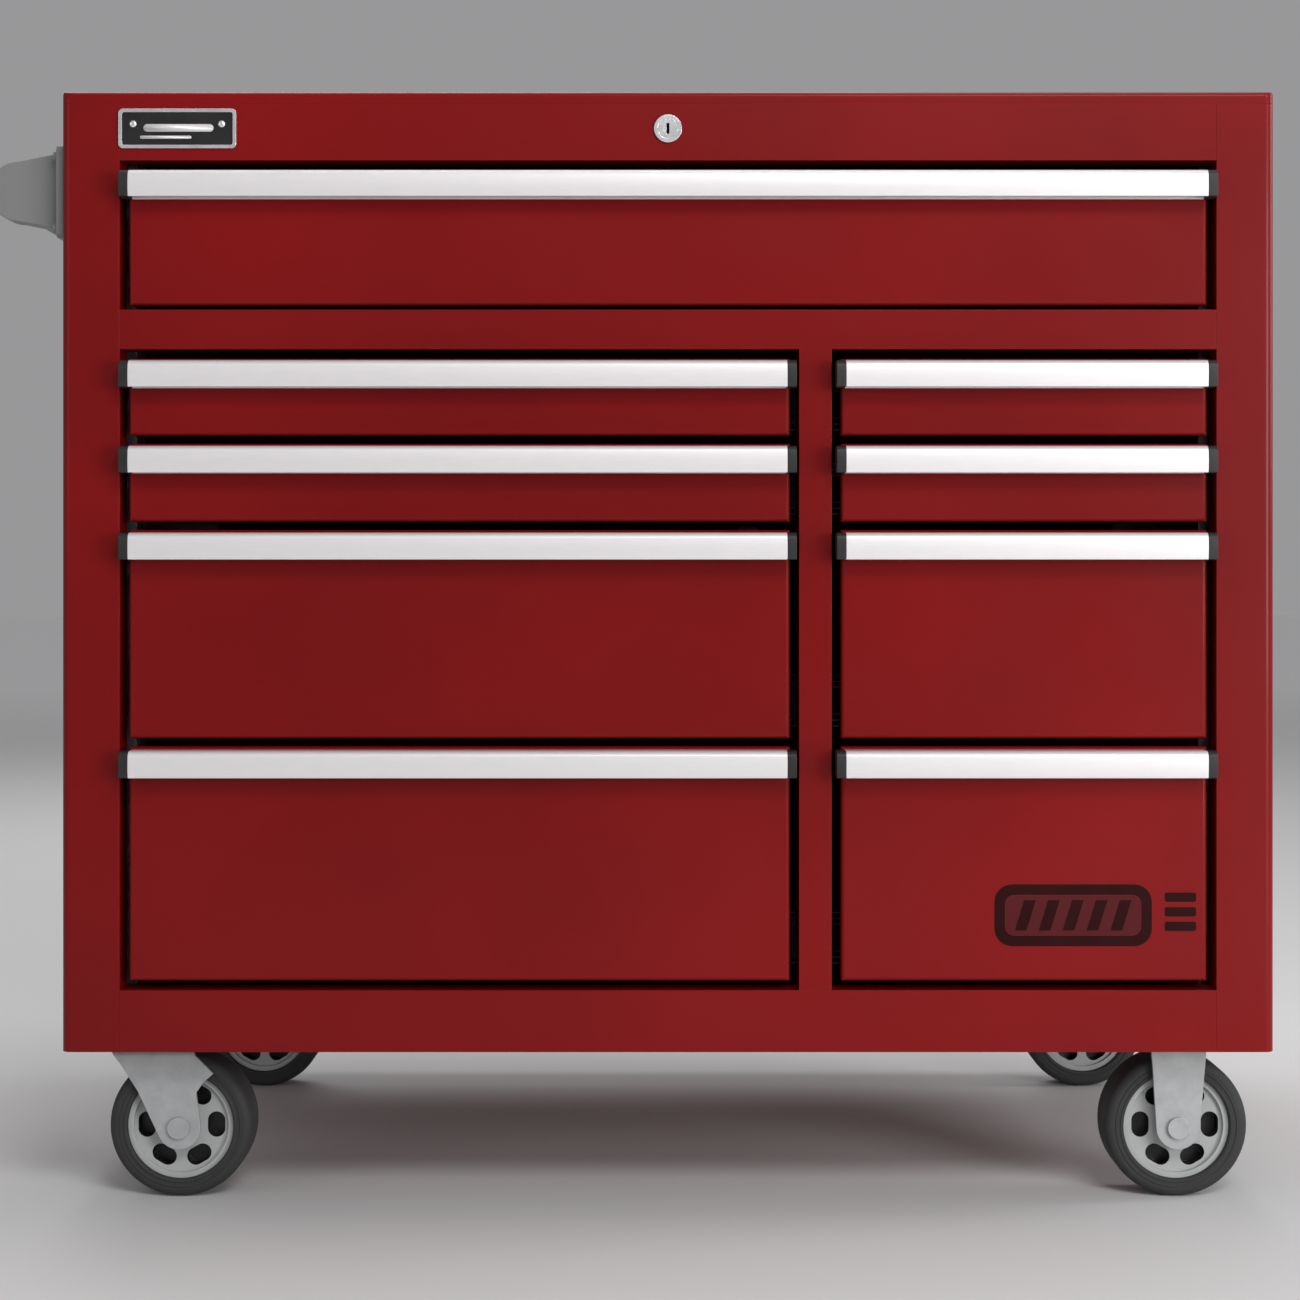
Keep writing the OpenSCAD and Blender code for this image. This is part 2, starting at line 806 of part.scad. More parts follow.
// Trailing fork with a flared nose over the wheel's front
module swivel_fork(y) {
    left = [[-34, crown_top], [-22, crown_top - 16], [-8, crown_top - 38]];
    right = [[39, crown_top], [42, crown_top - 7], [trail + 30, crown_top - 23],
        [trail + 21, crown_top - 31], [trail + 15, crown_top - 40]];
    in_place() color(zinc) translate([swivel_x, y, 0]) {
        difference() {
            union() {
                fork(left, right, crown_top, trail);
                translate([0, 0, crown_z]) cylinder(d = 2 * (leg_out_y - bend_r) + 12, h = leg_t);
            }
            translate([0, 0, crown_z - 1]) cylinder(d = kingpin_d + 0.2, h = leg_t + 2);
        }
        translate([trail, 0, wheel_r]) axle_bolt();
    }
}

module rigid_caster_forks() {
    in_place() color(zinc) for (y = caster_ys) translate([rigid_x, y, 0]) {
        caster_plate();
        fork([[-25, plate_z + EPS]], [[27, plate_z + EPS]], plate_z + EPS, 0);
    }
}

module rigid_caster_axles() {
    in_place() color(zinc) for (y = caster_ys)
        translate([rigid_x, y, wheel_r]) axle_bolt();
}

module caster_bolts() {
    in_place() color(zinc) bolt_places() {
        translate([0, 0, plate_z - 4]) cylinder(d = 15, h = 4);
        translate([0, 0, plate_z - EPS]) cylinder(d = bolt_d, h = plate_t + sheet + 9);
        translate([0, 0, floor_z + sheet]) cylinder(d = 15, h = 6.5, $fn = 6);
    }
}

// Wheels: [x, y] of each axle's middle, in the order of the names
wheel_places = [for (x = [swivel_x + trail, rigid_x]) for (y = caster_ys) [x, y]];

module wheel_turn(k) {
    translate([wheel_places[k][0], wheel_places[k][1], wheel_r]) rotate([90, 0, 0])
        rotate_extrude($fn = 96) children();
}

// Half section of the hub: bore boss, web and rim
module hub_section() {
    bore_r = (axle_d + axle_slack) / 2;
    boss_r = 14;
    translate([bore_r, -22]) square([boss_r - bore_r, 44]);
    translate([bore_r, -15]) square([hub_r - bore_r, 30]);
    translate([hub_r - 5, -19]) square([5, 38]);
}

// Six kidney-shaped pockets in each face of the hub, on both sides of its web
module hub_pockets() {
    ring_r = 30.5;
    pocket_d = 15;
    stretch = 7;
    web_t = 3;
    pocket_l = 20;
    for (a = [0:60:300], y = [-web_t / 2 - pocket_l, web_t / 2])
        rotate([0, -a, 0]) plate_y(y, y + pocket_l) translate([ring_r, 0]) {
            square([pocket_d, stretch], center = true);
            for (z = [-1, 1])
                translate([0, z * stretch / 2]) circle(d = pocket_d);
        }
}

module wheel_hub(k) {
    in_place() color(hub_grey) difference() {
        wheel_turn(k) hub_section();
        translate([wheel_places[k][0], wheel_places[k][1], wheel_r]) hub_pockets();
    }
}

// Half section of the tyre, with round shoulders
module tyre_section() {
    shoulder = 8;
    tread_t = wheel_r - hub_r;
    translate([hub_r, -tyre_w / 2]) square([tread_t - shoulder, tyre_w]);
    translate([hub_r, -tyre_w / 2 + shoulder]) square([tread_t, tyre_w - 2 * shoulder]);
    for (y = [-1, 1])
        translate([wheel_r - shoulder, y * (tyre_w / 2 - shoulder)]) circle(shoulder);
}

module wheel_tyre(k) {
    in_place() color(rubber) wheel_turn(k) tyre_section();
}

side_panel_left();
side_panel_right();
back_panel();
top_panel();
base_pan();
top_rail();
mid_rail();
bottom_rail();
centre_partition();
mid_shelf();
slide_uprights();
slide_cabinet_members();
lock_housing();
lock_cylinder();
lock_bar();
lock_guides();
handle_brackets();
handle_tube();
badge();
swivel_caster_plates();
rigid_caster_forks();
rigid_caster_axles();
caster_bolts();
swivel_fork(caster_ys[0]);  // swivel_fork_front
swivel_fork(caster_ys[1]);  // swivel_fork_rear

for (d = drawers) {
    drawer_tray(d);
    drawer_pull(d);
    drawer_slides(d);
}

for (k = [0:3]) {
    wheel_hub(k);
    wheel_tyre(k);
}
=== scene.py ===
"""Looks of the rolling tool chest: finishes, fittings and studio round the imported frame."""

import math

import bmesh
import bpy
from mathutils import Matrix, Vector


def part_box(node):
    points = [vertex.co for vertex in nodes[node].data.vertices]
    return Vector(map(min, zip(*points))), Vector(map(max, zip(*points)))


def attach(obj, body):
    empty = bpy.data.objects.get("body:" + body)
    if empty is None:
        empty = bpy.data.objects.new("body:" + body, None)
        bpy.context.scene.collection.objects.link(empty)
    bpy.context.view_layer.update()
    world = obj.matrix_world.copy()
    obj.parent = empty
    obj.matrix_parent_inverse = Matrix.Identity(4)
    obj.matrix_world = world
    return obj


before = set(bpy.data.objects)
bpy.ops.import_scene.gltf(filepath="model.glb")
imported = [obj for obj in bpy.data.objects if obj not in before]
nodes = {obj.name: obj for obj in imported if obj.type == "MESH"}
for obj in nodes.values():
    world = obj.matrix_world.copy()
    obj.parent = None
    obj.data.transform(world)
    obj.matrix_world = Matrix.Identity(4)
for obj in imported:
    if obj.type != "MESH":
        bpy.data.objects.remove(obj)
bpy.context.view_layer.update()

# ---- Names and places taken from the frame ----

DRAWERS = ["drawer_top"] + [f"drawer_{bank}_{row}" for bank in ("left", "right") for row in (1, 2, 3, 4)]
WHEELS = [f"wheel_{end}_{side}" for side in ("left", "right") for end in ("front", "rear")]

body_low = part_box("side_panel_left")[0]
body_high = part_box("side_panel_right")[1]
front_y = body_low.y
back_y = body_high.y
top_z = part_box("top_panel")[1].z
mid_x = (body_low.x + body_high.x) / 2
mid_y = (front_y + back_y) / 2

# Sizes of the CAD parts, in metres
slide_t = 0.0127
cap_l = 0.008
lock_drop = 0.032
drawer_front_t = 0.012
tray_d = 0.540
badge_recess = 0.00125
lock_z = top_z - lock_drop
tray_wall_y = front_y + drawer_front_t

# Closer than this, two faces are taken to lie at one place
skin = 0.0002


def centre(node):
    """Middle of a node's box."""
    low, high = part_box(node)
    return (low + high) / 2


# ---- Shader helpers ----

def new_material(name):
    mat = bpy.data.materials.new(name)
    mat.use_nodes = True
    tree = mat.node_tree
    return mat, tree, tree.nodes["Principled BSDF"]


def place(tree, stretch=(1, 1, 1)):
    """Object coordinates in metres, stretched along the axes."""
    coords = tree.nodes.new("ShaderNodeTexCoord")
    mapping = tree.nodes.new("ShaderNodeMapping")
    mapping.inputs["Scale"].default_value = stretch
    tree.links.new(coords.outputs["Object"], mapping.inputs["Vector"])
    return mapping.outputs["Vector"]


def noise(tree, scale, detail=3.0, rough=0.55, stretch=(1, 1, 1)):
    tex = tree.nodes.new("ShaderNodeTexNoise")
    tex.inputs["Scale"].default_value = scale
    tex.inputs["Detail"].default_value = detail
    tex.inputs["Roughness"].default_value = rough
    tree.links.new(place(tree, stretch), tex.inputs["Vector"])
    return tex.outputs["Fac"]


def ranged(tree, value, low, high, start=0.0, end=1.0):
    """The value's stretch from start to end, spread over low to high."""
    spread = tree.nodes.new("ShaderNodeMapRange")
    for socket, number in (("From Min", start), ("From Max", end), ("To Min", low), ("To Max", high)):
        spread.inputs[socket].default_value = number
    tree.links.new(value, spread.inputs["Value"])
    return spread.outputs["Result"]


def blend_colours(tree, fac, dark, light):
    mix = tree.nodes.new("ShaderNodeMix")
    mix.data_type = "RGBA"
    mix.inputs["A"].default_value = (*dark, 1)
    mix.inputs["B"].default_value = (*light, 1)
    tree.links.new(fac, mix.inputs["Factor"])
    return mix.outputs["Result"]


def bump(tree, bsdf, height, depth, strength=1.0):
    """Adds a bump to the surface, after any that is there already."""
    node = tree.nodes.new("ShaderNodeBump")
    node.inputs["Distance"].default_value = depth
    node.inputs["Strength"].default_value = strength
    tree.links.new(height, node.inputs["Height"])
    if bsdf.inputs["Normal"].is_linked:
        tree.links.new(bsdf.inputs["Normal"].links[0].from_socket, node.inputs["Normal"])
    tree.links.new(node.outputs["Normal"], bsdf.inputs["Normal"])


def set_roughness(tree, bsdf, value):
    tree.links.new(value, bsdf.inputs["Roughness"])


# ---- Materials ----

def paint(name, dark, light, gloss=(0.28, 0.37)):
    """Powder coat: orange peel, a faint wave, and slow changes of tone and gloss."""
    mat, tree, bsdf = new_material(name)
    tone = ranged(tree, noise(tree, 2.1), 0, 1, 0.35, 0.65)
    tree.links.new(blend_colours(tree, tone, dark, light), bsdf.inputs["Base Color"])
    marks = noise(tree, 7.0, detail=4.0, rough=0.5)
    set_roughness(tree, bsdf, ranged(tree, marks, *gloss, 0.2, 0.8))
    bump(tree, bsdf, noise(tree, 620.0, detail=2.0), 0.00006, 0.35)
    bump(tree, bsdf, noise(tree, 5.0, detail=1.0), 0.0012, 0.06)
    bsdf.inputs["Specular IOR Level"].default_value = 0.14
    bsdf.inputs["Coat Weight"].default_value = 0.06
    bsdf.inputs["Coat Roughness"].default_value = 0.10
    return mat


def brushed(name, dark, light, along=(1, 60, 60), gloss=(0.26, 0.42), metallic=1.0):
    """Metal with fine lines along one axis."""
    mat, tree, bsdf = new_material(name)
    lines = noise(tree, 90.0, detail=4.0, rough=0.7, stretch=along)
    tree.links.new(blend_colours(tree, lines, dark, light), bsdf.inputs["Base Color"])
    set_roughness(tree, bsdf, ranged(tree, lines, *gloss, 0.3, 0.7))
    bsdf.inputs["Metallic"].default_value = metallic
    bump(tree, bsdf, lines, 0.00008, 0.35)
    return mat


def plated(name, dark, light, gloss=(0.28, 0.5), metallic=1.0):
    """Plated metal: blotches of tone with a fine grain."""
    mat, tree, bsdf = new_material(name)
    blotch = noise(tree, 55.0, detail=6.0, rough=0.7)
    tone = ranged(tree, blotch, 0, 1, 0.3, 0.7)
    tree.links.new(blend_colours(tree, tone, dark, light), bsdf.inputs["Base Color"])
    set_roughness(tree, bsdf, ranged(tree, blotch, *gloss, 0.3, 0.7))
    bsdf.inputs["Metallic"].default_value = metallic
    bump(tree, bsdf, noise(tree, 1500.0), 0.00003, 0.4)
    return mat


def moulded(name, dark, light, gloss=(0.38, 0.55), grain=1400.0, depth=0.00006, shine=0.4):
    """Plastic, rubber, enamel or film with a fine grain."""
    mat, tree, bsdf = new_material(name)
    tone = noise(tree, 40.0, detail=5.0)
    tree.links.new(blend_colours(tree, tone, dark, light), bsdf.inputs["Base Color"])
    set_roughness(tree, bsdf, ranged(tree, tone, *gloss, 0.3, 0.7))
    bump(tree, bsdf, noise(tree, grain, detail=1.0), depth, 0.5)
    bsdf.inputs["Specular IOR Level"].default_value = shine
    return mat


RED = paint("red_powder_coat", (0.165, 0.0032, 0.0040), (0.215, 0.0042, 0.0050))
# A lighter, glossier copy of the red for the softened edges: a painted highlight
RED_EDGE_HIGHLIGHT = paint("red_powder_coat_edge_highlight", (0.195, 0.0060, 0.0070), (0.250, 0.0085, 0.0095), (0.24, 0.36))
# A darker, rougher copy of the red for the drawer boxes behind the fronts: painted shade inside the drawers
# and the gaps
RED_INSIDE_SHADE = paint("red_powder_coat_inside_shade", (0.150, 0.0040, 0.0050), (0.185, 0.0050, 0.0060), (0.34, 0.48))
PULL = brushed("satin_aluminium", (0.70, 0.68, 0.685), (0.88, 0.845, 0.858), (0.6, 60, 60), (0.36, 0.5), 0.4)
CAP = moulded("black_cap_plastic", (0.012, 0.012, 0.013), (0.022, 0.022, 0.023))
ZINC = plated("bright_zinc", (0.50, 0.51, 0.52), (0.66, 0.67, 0.68))
FORK = plated("fork_zinc", (0.36, 0.37, 0.375), (0.47, 0.48, 0.485), (0.42, 0.6), 0.35)
HUB = moulded("hub_grey_plastic", (0.36, 0.37, 0.37), (0.44, 0.45, 0.45), (0.42, 0.58))
TYRE = moulded("tyre_rubber", (0.024, 0.024, 0.025), (0.040, 0.040, 0.041), (0.62, 0.82), 800.0, 0.00012)
HANDLE = paint("handle_grey_coat", (0.200, 0.205, 0.200), (0.235, 0.240, 0.235), (0.36, 0.5))
CHROME = plated("lock_chrome", (0.80, 0.80, 0.82), (0.90, 0.90, 0.92), (0.20, 0.30), 0.85)
# Dark enamel on the badge's recess floor, and painted shade in the key slot and the hub pockets
DARK_ENAMEL_AND_SHADE = moulded("dark_enamel_and_shade", (0.010, 0.010, 0.011), (0.018, 0.017, 0.018), (0.28, 0.4))
DECAL = moulded("decal_film", (0.016, 0.0006, 0.0008), (0.026, 0.0010, 0.0012), (0.3, 0.42), shine=0.12)
DECAL_PALE = moulded("decal_film_pale", (0.075, 0.010, 0.012), (0.095, 0.010, 0.012), (0.3, 0.42), shine=0.12)


# ---- CAD nodes: finishes and softened edges ----

WELD_GAP = 0.00002
FLAT_ANGLE = math.radians(0.5)
EDGE_ANGLE = math.radians(32)


def finish_node(node, mats, edge=None, width=0.0005, segments=2, pick=None):
    """Gives a CAD node its materials, softens its edges, and picks a material for each face by place."""
    obj = nodes[node]
    obj.data.materials.clear()
    for mat in mats:
        obj.data.materials.append(mat)
    for face in obj.data.polygons:
        face.use_smooth = True
        face.material_index = pick(face) if pick else 0
    weld = obj.modifiers.new("Weld", "WELD")
    weld.merge_threshold = WELD_GAP
    flats = obj.modifiers.new("Flats", "DECIMATE")
    flats.decimate_type = "DISSOLVE"
    flats.angle_limit = FLAT_ANGLE
    flats.delimit = {"MATERIAL"}
    soften = obj.modifiers.new("Bevel", "BEVEL")
    soften.width = width
    soften.segments = segments
    soften.limit_method = "ANGLE"
    soften.angle_limit = EDGE_ANGLE
    soften.use_clamp_overlap = False
    # Where an edge material is given, the bevel faces take it: a lighter copy of the paint as a painted
    # highlight along the edges
    if edge is not None:
        obj.data.materials.append(edge)
        soften.material = len(obj.data.materials) - 1
    obj.modifiers.new("Normals", "WEIGHTED_NORMAL").keep_sharp = True


def looks_forward(face):
    return face.normal.y < -0.5


CASING = ["side_panel_left", "side_panel_right", "back_panel", "top_panel", "base_pan",
          "top_rail", "mid_rail", "bottom_rail", "centre_partition", "mid_shelf"]
for name in CASING:
    finish_node(name, [RED], RED_EDGE_HIGHLIGHT, width=0.0004)


def slide_end_shade_pick(face):
    """1 for the front end of a slide, black as a plastic stop and as painted shade in the gap beside the
    drawer.
    """
    stop_shade_depth = 0.06
    return int(looks_forward(face) and face.center.y < front_y + stop_shade_depth)


finish_node("slide_cabinet_members", [ZINC, CAP], width=0.0002, segments=1, pick=slide_end_shade_pick)
for name in ("slide_uprights", "caster_bolts", "rigid_caster_axles", "lock_bar"):
    finish_node(name, [ZINC], width=0.0002, segments=1)
for name in ("swivel_caster_plates", "rigid_caster_forks", "swivel_fork_front", "swivel_fork_rear"):
    finish_node(name, [FORK], width=0.0003)


plug_front_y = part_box("lock_cylinder")[0].y


def key_slot_shade_pick(face):
    """1 on the walls and floor of the key slot, which runs into the plug from the front: dark as painted
    shade.
    """
    slot_half_w, slot_half_h, slot_l = 0.0015, 0.0048, 0.012
    in_slot = abs(face.center.x - mid_x) < slot_half_w and abs(face.center.z - lock_z) < slot_half_h
    return int(in_slot and plug_front_y + skin < face.center.y < front_y + slot_l)


finish_node("lock_housing", [CHROME], width=0.0004, segments=3)
finish_node("lock_cylinder", [CHROME, DARK_ENAMEL_AND_SHADE], width=0.0002, segments=2, pick=key_slot_shade_pick)
finish_node("lock_guides", [CAP], width=0.0005)
finish_node("handle_brackets", [HANDLE], width=0.0009, segments=3)
finish_node("handle_tube", [HANDLE], width=0.0004)


badge_front_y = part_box("badge")[0].y


def badge_pick(face):
    """1 on the floor of the badge's recess."""
    return int(looks_forward(face) and face.center.y > badge_front_y + badge_recess / 2)


finish_node("badge", [CHROME, DARK_ENAMEL_AND_SHADE], width=0.0003, pick=badge_pick)


def pull_pick(node):
    """1 for the plastic caps at the ends of a pull."""
    low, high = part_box(node)
    return lambda face: int(not low.x + cap_l < face.center.x < high.x - cap_l)


def tray_pick(tray):
    """0 for the painted front, 1 for the box in a darker red as painted shade, 2 for the plated slide members
    and tab, 3 for their front ends, black as stops and as painted shade in the gaps.
    """
    slides_low, slides_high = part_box(tray.replace("_tray", "_slides"))
    # The gap outside the middle slide member and the gap inside the inner one, together
    slide_gaps = 0.0024
    side_low = slides_low.x + slide_t - slide_gaps
    side_high = slides_high.x - slide_t + slide_gaps
    members_y = tray_wall_y + 0.012
    stop_shade_y = tray_wall_y + 0.02
    tab_y = front_y + tray_d + 0.0008

    def pick(face):
        x, y = face.center.x, face.center.y
        # Front ends of the tray's slide members: black as stops and as painted shade in the gaps
        if slide_end_shade_pick(face) and y > stop_shade_y:
            return 3
        if y > tab_y or (y > members_y and not side_low < x < side_high):
            return 2
        return int(y > tray_wall_y - skin)
    return pick


for name in DRAWERS:
    finish_node(name + "_pull", [PULL, CAP], width=0.0004, pick=pull_pick(name + "_pull"))
    finish_node(name + "_tray", [RED, RED_INSIDE_SHADE, ZINC, CAP], RED_EDGE_HIGHLIGHT, width=0.0004,
                pick=tray_pick(name + "_tray"))
    finish_node(name + "_slides", [ZINC, CAP], width=0.0002, segments=1, pick=slide_end_shade_pick)


def hub_pocket_shade_pick(node):
    """1 inside the blind pockets, whose walls lie between the boss and the rim: their walls and floors are
    dark as painted shade.
    """
    mid = centre(node)
    # A pocket's floor lies no further than this from the hub's middle
    floor_reach = 0.003
    pocket_in, pocket_out = 0.0215, 0.0392

    def pick(face):
        from_mid = face.center - mid
        radius = math.hypot(from_mid.x, from_mid.z)
        floor = abs(face.normal.y) > 0.9 and abs(from_mid.y) < floor_reach
        wall = abs(face.normal.y) < 0.2
        return int(pocket_in < radius < pocket_out and (floor or wall))
    return pick


for name in WHEELS:
    finish_node(name + "_hub", [HUB, DARK_ENAMEL_AND_SHADE], width=0.0005, pick=hub_pocket_shade_pick(name + "_hub"))
    finish_node(name + "_tyre", [TYRE], width=0.0006)


# ---- Mesh helpers for added pieces ----

def piece(name, bm, mats, body, smooth=True):
    """Turns a bmesh into a piece that rides on a body."""
    mesh = bpy.data.meshes.new(name)
    bmesh.ops.recalc_face_normals(bm, faces=bm.faces)
    bm.to_mesh(mesh)
    bm.free()
    for mat in mats:
        mesh.materials.append(mat)
    for face in mesh.polygons:
        face.use_smooth = smooth
    obj = bpy.data.objects.new(name, mesh)
    bpy.context.scene.collection.objects.link(obj)
    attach(obj, body)
    return obj


def rounded(width, height, radius, at=(0, 0), steps=6):
    """Outline of a rectangle with round corners, as points (x, z) round its middle."""
    points = []
    for quarter, (sx, sz) in enumerate(((1, 1), (-1, 1), (-1, -1), (1, -1))):
        for k in range(steps + 1):
            angle = math.radians(90 * (quarter + k / steps))
            points.append((at[0] + sx * (width / 2 - radius) + radius * math.cos(angle),
                           at[1] + sz * (height / 2 - radius) + radius * math.sin(angle)))
    return points


def slanted(width, height, lean, at=(0, 0)):
    """Outline of an upright bar whose top leans to the right."""
    x, z = at
    return [(x - width / 2 - lean, z - height / 2), (x + width / 2 - lean, z - height / 2),
            (x + width / 2 + lean, z + height / 2), (x - width / 2 + lean, z + height / 2)]


def plate(bm, outline, middle, y_front, y_rear):
    """Closed plate of an outline in the XZ plane, from y_front to y_rear."""
    rings = [[bm.verts.new((middle.x + x, y, middle.z + z)) for x, z in outline] for y in (y_front, y_rear)]
    bm.faces.new(rings[0])
    bm.faces.new(rings[1][::-1])
    for k in range(len(outline)):
        j = (k + 1) % len(outline)
        bm.faces.new((rings[0][k], rings[0][j], rings[1][j], rings[1][k]))


def band(bm, outer, inner, middle, y_front, y_rear):
    """Closed flat band between two outlines with equal numbers of points."""
    loops = [[bm.verts.new((middle.x + x, y, middle.z + z)) for x, z in line]
             for line, y in ((outer, y_front), (inner, y_front), (inner, y_rear), (outer, y_rear))]
    for a, b in zip(loops, loops[1:] + loops[:1]):
        for k in range(len(outer)):
            j = (k + 1) % len(outer)
            bm.faces.new((a[k], a[j], b[j], b[k]))


def lathe(bm, section, middle, steps=64):
    """Turns a closed section of points (radius, y) round the Y axis through middle."""
    loops = []
    for k in range(steps):
        angle = math.tau * k / steps
        across, up = math.cos(angle), math.sin(angle)
        loops.append([bm.verts.new((middle.x + r * across, middle.y + y, middle.z + r * up))
                      for r, y in section])
    count = len(section)
    for a, b in zip(loops, loops[1:] + loops[:1]):
        for k in range(count):
            j = (k + 1) % count
            bm.faces.new((a[k], a[j], b[j], b[k]))


def dome(bm, middle, axis, radius, height, steps=16, rings=4):
    """Low round head that stands on a surface and looks along axis."""
    turn = Vector(axis).to_track_quat("Z", "Y").to_matrix().to_4x4()
    seat = Matrix.Translation(middle) @ turn
    loops = []
    for ring in range(rings):
        rise = math.radians(90 * ring / rings)
        loops.append([bm.verts.new(seat @ Vector((
            radius * math.cos(rise) * math.cos(math.tau * k / steps),
            radius * math.cos(rise) * math.sin(math.tau * k / steps),
            height * math.sin(rise)))) for k in range(steps)])
    top = bm.verts.new(seat @ Vector((0, 0, height)))
    for a, b in zip(loops, loops[1:]):
        for k in range(steps):
            j = (k + 1) % steps
            bm.faces.new((a[k], a[j], b[j], b[k]))
    for k in range(steps):
        bm.faces.new((loops[-1][k], loops[-1][(k + 1) % steps], top))
    bm.faces.new(loops[0][::-1])


# ---- Added pieces ----

def make_decal():
    """Film on the lowest right-hand drawer: a frame with slanted bars, and three short bars beside it."""
    low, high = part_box("drawer_right_4_tray")
    film = 0.00025
    frame_w, frame_h, line = 0.135, 0.053, 0.009
    frame_r, hole_r, ground_r = 0.015, 0.008, 0.0075
    slant_w, slant_h, lean, slant_pitch = 0.010, 0.026, 0.004, 0.0205
    block_w, block_h, block_r = 0.027, 0.008, 0.002
    block_pitch, block_lift, block_gap = 0.0125, 0.003, 0.011
    right_gap, low_gap, ground_gap = 0.013, 0.030, 0.001
    mid_z = low.z + low_gap + frame_h / 2
    block_x = high.x - right_gap - block_w / 2
    frame_x = block_x - block_w / 2 - block_gap - frame_w / 2
    at = Vector((frame_x, 0, mid_z))
    blocks_at = Vector((block_x, 0, mid_z + block_lift))
    y_front, y_rear = front_y - film, front_y + film
    bm = bmesh.new()
    band(bm, rounded(frame_w, frame_h, frame_r), rounded(frame_w - 2 * line, frame_h - 2 * line, hole_r),
         at, y_front, y_rear)
    for k in (-2, -1, 0, 1, 2):
        plate(bm, slanted(slant_w, slant_h, lean, (k * slant_pitch, 0)), at, y_front, y_rear)
    for k in (-1, 0, 1):
        plate(bm, rounded(block_w, block_h, block_r, (0, k * block_pitch)), blocks_at, y_front, y_rear)
    piece("drawer_decal", bm, [DECAL], "drawer_right_4", smooth=False)
    bm = bmesh.new()
    plate(bm, rounded(frame_w - 2 * line - ground_gap, frame_h - 2 * line - ground_gap, ground_r),
          at, front_y - film / 2, y_rear)
    piece("drawer_decal_ground", bm, [DECAL_PALE], "drawer_right_4", smooth=False)


def make_badge_detail():
    """Two rivets and two plain bars on the dark floor of the badge."""
    low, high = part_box("badge")
    mid = (low + high) / 2
    floor_y = low.y + badge_recess
    proud, sink = 0.0008, 0.0002
    long_bar = rounded(0.060, 0.0065, 0.0032, (0.001, 0.0005))
    short_bar = rounded(0.044, 0.0026, 0.0012, (-0.010, -0.0075))
    rivet_x, rivet_lift, rivet_r, rivet_h = 0.038, 0.004, 0.0032, 0.0014
    bm = bmesh.new()
    for bar in (long_bar, short_bar):
        plate(bm, bar, mid, floor_y - proud, floor_y + sink)
    piece("badge_bars", bm, [PULL], "cabinet")
    bm = bmesh.new()
    for side in (-1, 1):
        seat = Vector((mid.x + side * rivet_x, floor_y, mid.z + rivet_lift))
        dome(bm, seat, (0, -1, 0), rivet_r, rivet_h)
    piece("badge_rivets", bm, [CHROME], "cabinet")


def make_tyre_detail(wheel):
    """Two raised rings on each wall of the tyre."""
    node = wheel + "_tyre"
    low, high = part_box(node)
    mid = (low + high) / 2
    half_w = (high.y - low.y) / 2
    radius = (high.z - low.z) / 2
    sink, proud = 0.0004, 0.0006
    # Distance of each ring from the tread, and half its width at the foot
    rings = ((0.0140, 0.0016), (0.0095, 0.0010))
    crest = 0.6
    bm = bmesh.new()
    for side in (-1, 1):
        foot_y = side * half_w - side * sink
        crest_y = side * half_w + side * proud
        for inset, half in rings:
            r = radius - inset
            lathe(bm, [(r - half, foot_y), (r - half * crest, crest_y),
                       (r + half * crest, crest_y), (r + half, foot_y)], mid)
    piece(wheel + "_tyre_rings", bm, [TYRE], wheel)


def spread(low, high, pitch):
    """Evenly spaced places from low to high, about pitch apart."""
    count = round((high - low) / pitch)
    return [low + (high - low) * k / count for k in range(count + 1)]


def make_rear_rivets():
    """Rivets down the side panels' rear flanges, and weld marks along the back panel's top and bottom."""
    low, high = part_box("back_panel")
    inset, pitch, sink = 0.010, 0.085, 0.0002
    head_r, rivet_h, weld_h = 0.0035, 0.0012, 0.0008
    bm = bmesh.new()
    for x in (body_low.x + inset, body_high.x - inset):
        for z in spread(low.z + 2 * inset, high.z - 2 * inset, pitch):
            dome(bm, Vector((x, back_y - sink, z)), (0, 1, 0), head_r, rivet_h)
    # The rivet heads take the lighter edge red, a painted highlight
    piece("rear_flange_rivets", bm, [RED_EDGE_HIGHLIGHT], "cabinet")
    bm = bmesh.new()
    for z in (low.z + inset, high.z - inset):
        for x in spread(low.x + 4 * inset, high.x - 4 * inset, pitch):
            dome(bm, Vector((x, high.y - sink, z)), (0, 1, 0), head_r, weld_h, rings=3)
    piece("back_panel_welds", bm, [RED], "cabinet")


make_decal()
make_badge_detail()
make_rear_rivets()
for name in WHEELS:
    make_tyre_detail(name)


# ---- Stage: floor, light and camera ----

def area_light(name, place_at, look_at, size, power):
    """White rectangular lamp, which the camera doesn't see."""
    data = bpy.data.lights.new(name, "AREA")
    data.shape = "RECTANGLE"
    data.size, data.size_y = size
    data.energy = power
    lamp = bpy.data.objects.new(name, data)
    lamp.visible_camera = False
    bpy.context.scene.collection.objects.link(lamp)
    lamp.location = place_at
    lamp.rotation_euler = (Vector(look_at) - Vector(place_at)).to_track_quat("-Z", "Y").to_euler()


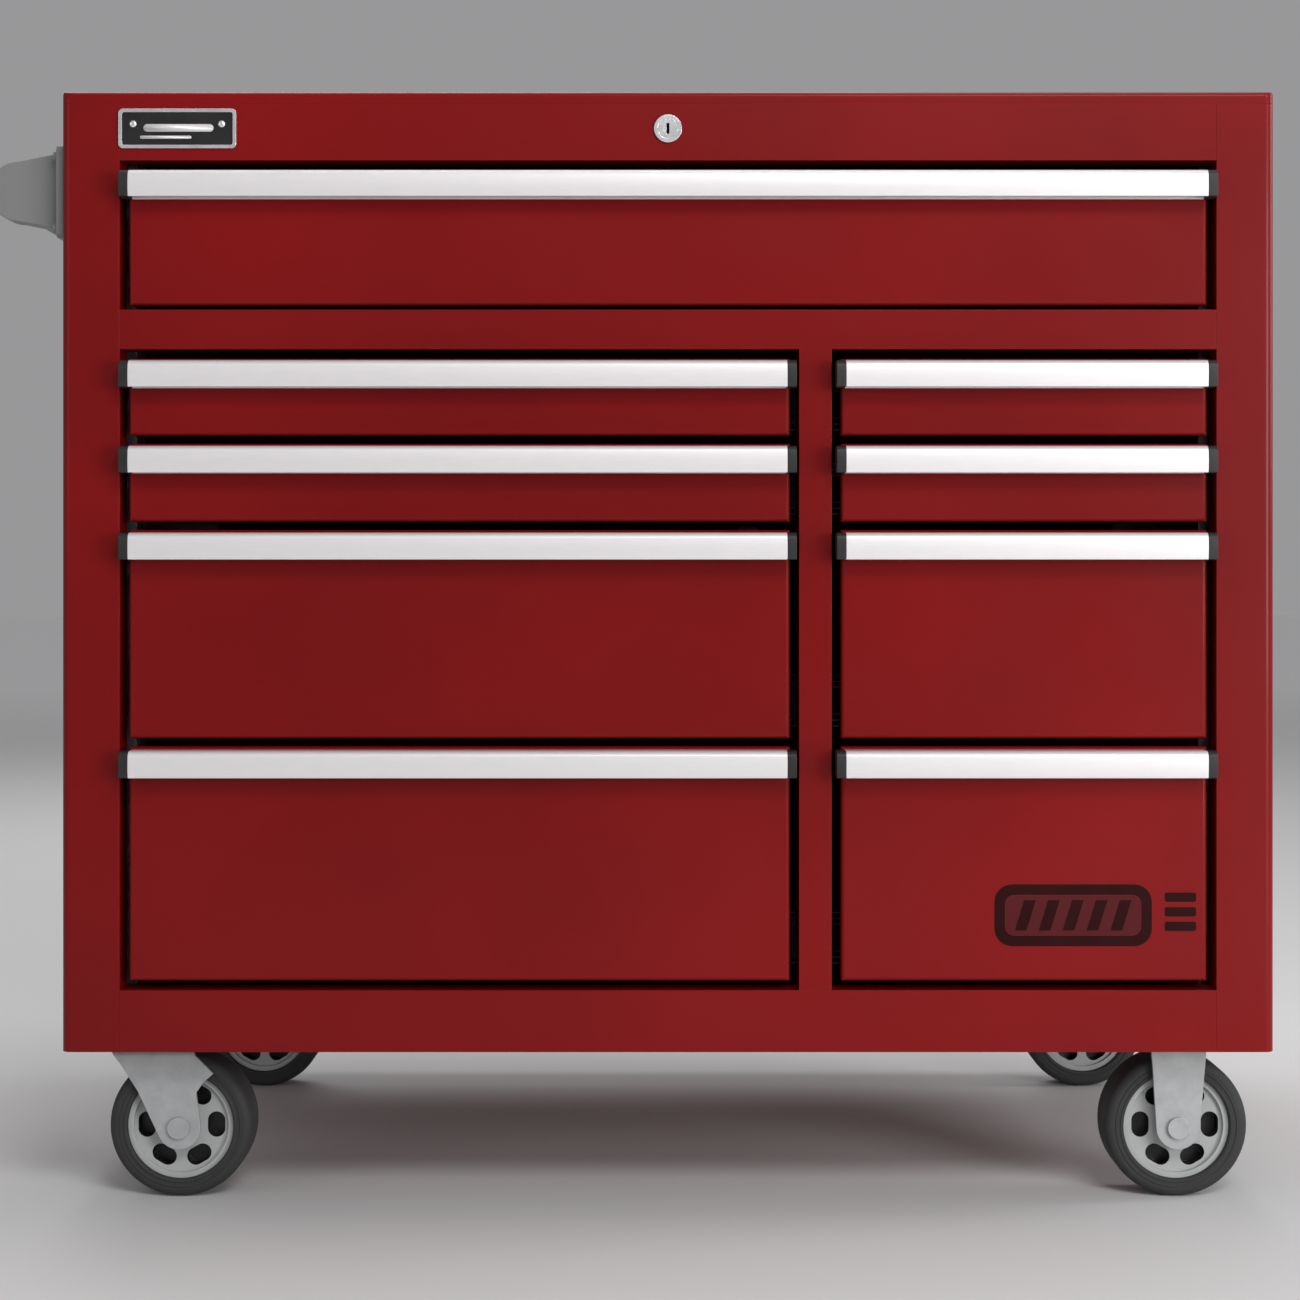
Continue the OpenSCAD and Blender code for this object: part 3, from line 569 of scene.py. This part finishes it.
def make_floor():
    """Wide pale floor that grows lighter far away, so that it meets the background without a line."""
    reach, fade_r = 30, 10
    near_dark, near_light, far_tone = (0.62, 0.62, 0.62), (0.65, 0.65, 0.65), (0.97, 0.97, 0.97, 1)
    bm = bmesh.new()
    bmesh.ops.create_grid(bm, x_segments=1, y_segments=1, size=reach)
    mesh = bpy.data.meshes.new("floor")
    bm.to_mesh(mesh)
    bm.free()
    mat, tree, bsdf = new_material("pale_floor")
    gradient = tree.nodes.new("ShaderNodeTexGradient")
    gradient.gradient_type = "SPHERICAL"
    tree.links.new(place(tree, (1 / fade_r, 1 / fade_r, 1 / fade_r)), gradient.inputs["Vector"])
    far = ranged(tree, gradient.outputs["Fac"], low=1, high=0, end=0.85)
    near = blend_colours(tree, noise(tree, 1.5), near_dark, near_light)
    fade = tree.nodes.new("ShaderNodeMix")
    fade.data_type = "RGBA"
    fade.inputs["B"].default_value = far_tone
    tree.links.new(near, fade.inputs["A"])
    tree.links.new(far, fade.inputs["Factor"])
    tree.links.new(fade.outputs["Result"], bsdf.inputs["Base Color"])
    bsdf.inputs["Roughness"].default_value = 0.8
    bsdf.inputs["Specular IOR Level"].default_value = 0.1
    mesh.materials.append(mat)
    floor = bpy.data.objects.new("floor", mesh)
    bpy.context.scene.collection.objects.link(floor)


def make_camera():
    """Level camera in front. Its picture is view_w wide at the front face, round the height view_z."""
    distance = 2.10
    view_w = 1.115
    view_z = 0.481
    axis_x = mid_x - 0.0154
    axis_z = 0.545
    data = bpy.data.cameras.new("camera")
    data.sensor_width = 36
    data.lens = data.sensor_width * distance / view_w
    data.shift_y = (view_z - axis_z) / view_w
    data.clip_end = 100
    cam = bpy.data.objects.new("camera", data)
    bpy.context.scene.collection.objects.link(cam)
    cam.location = (axis_x, front_y - distance, axis_z)
    cam.rotation_euler = (math.radians(90), 0, 0)
    bpy.context.scene.camera = cam


def make_light():
    """Lamps at the front right, a weak fill at the front left, and lamps behind, above and at the right."""
    world = bpy.data.worlds.new("studio")
    bpy.context.scene.world = world
    world.use_nodes = True
    sky = world.node_tree.nodes["Background"]
    sky.inputs["Color"].default_value = (0.98, 0.98, 1.0, 1)
    sky.inputs["Strength"].default_value = 0.32
    aim = (mid_x, front_y, 0.5)
    area_light("key_light", (mid_x + 0.8, front_y - 2.5, 2.45), (mid_x + 0.2, front_y, 0.20), (1.3, 0.8), 38)
    area_light("low_light", (mid_x + 2.2, front_y - 2.3, 0.8), (mid_x + 0.3, front_y, 0.0), (1.2, 1.0), 46)
    area_light("fill_light", (mid_x - 2.6, front_y - 2.2, 1.4), aim, (1.6, 1.6), 8)
    area_light("rear_light", (mid_x - 0.8, back_y + 2.8, 3.2), (mid_x, back_y, 0.6), (3.2, 2.0), 46)
    area_light("top_light", (mid_x, back_y, 3.0), (mid_x, mid_y, 0.0), (2.0, 1.4), 30)
    area_light("edge_light", (mid_x + 2.6, front_y + 0.3, 1.3), (body_high.x, front_y, 0.7), (0.5, 1.2), 16)
    bpy.context.scene.view_settings.view_transform = "Standard"


make_floor()
make_camera()
make_light()
